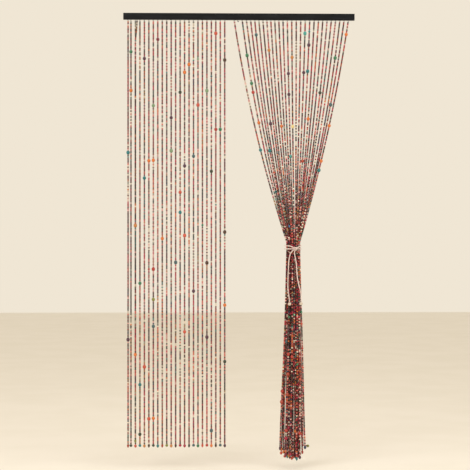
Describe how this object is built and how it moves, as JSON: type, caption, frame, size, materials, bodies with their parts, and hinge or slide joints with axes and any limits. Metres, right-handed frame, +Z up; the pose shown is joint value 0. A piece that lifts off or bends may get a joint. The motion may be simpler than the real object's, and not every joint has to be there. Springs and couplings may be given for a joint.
{
  "type": "bead string door curtain with hanging rail",
  "caption": "Door curtain of wooden bead strings on a black rail, one half hanging straight, the other gathered by a knotted cord tie.",
  "frame": {"origin": "middle of the rail's back face, where it lies on what it is fixed to", "axes": "+Z up, +X to the right of someone facing the curtain, +Y out of the rail's back face, away from the viewer"},
  "size_m": [1, 0.0583, 1.9279],
  "materials": {
    "rail_black": "matte black stained wood",
    "beads": "small wooden beads dyed in mixed colours, satin lacquer",
    "tie_cord": "twisted undyed cotton cord",
    "tie_bead": "pale smooth wooden bead"
  },
  "bodies": {
    "root": {"rail": "rail_black", "strands_left": "beads", "strands_right": "beads", "tie_wrap": "tie_cord", "tie_tail_left": "tie_cord", "tie_tail_right": "tie_cord", "tie_bead_left": "tie_bead", "tie_bead_right": "tie_bead"}
  },
  "joints": []
}
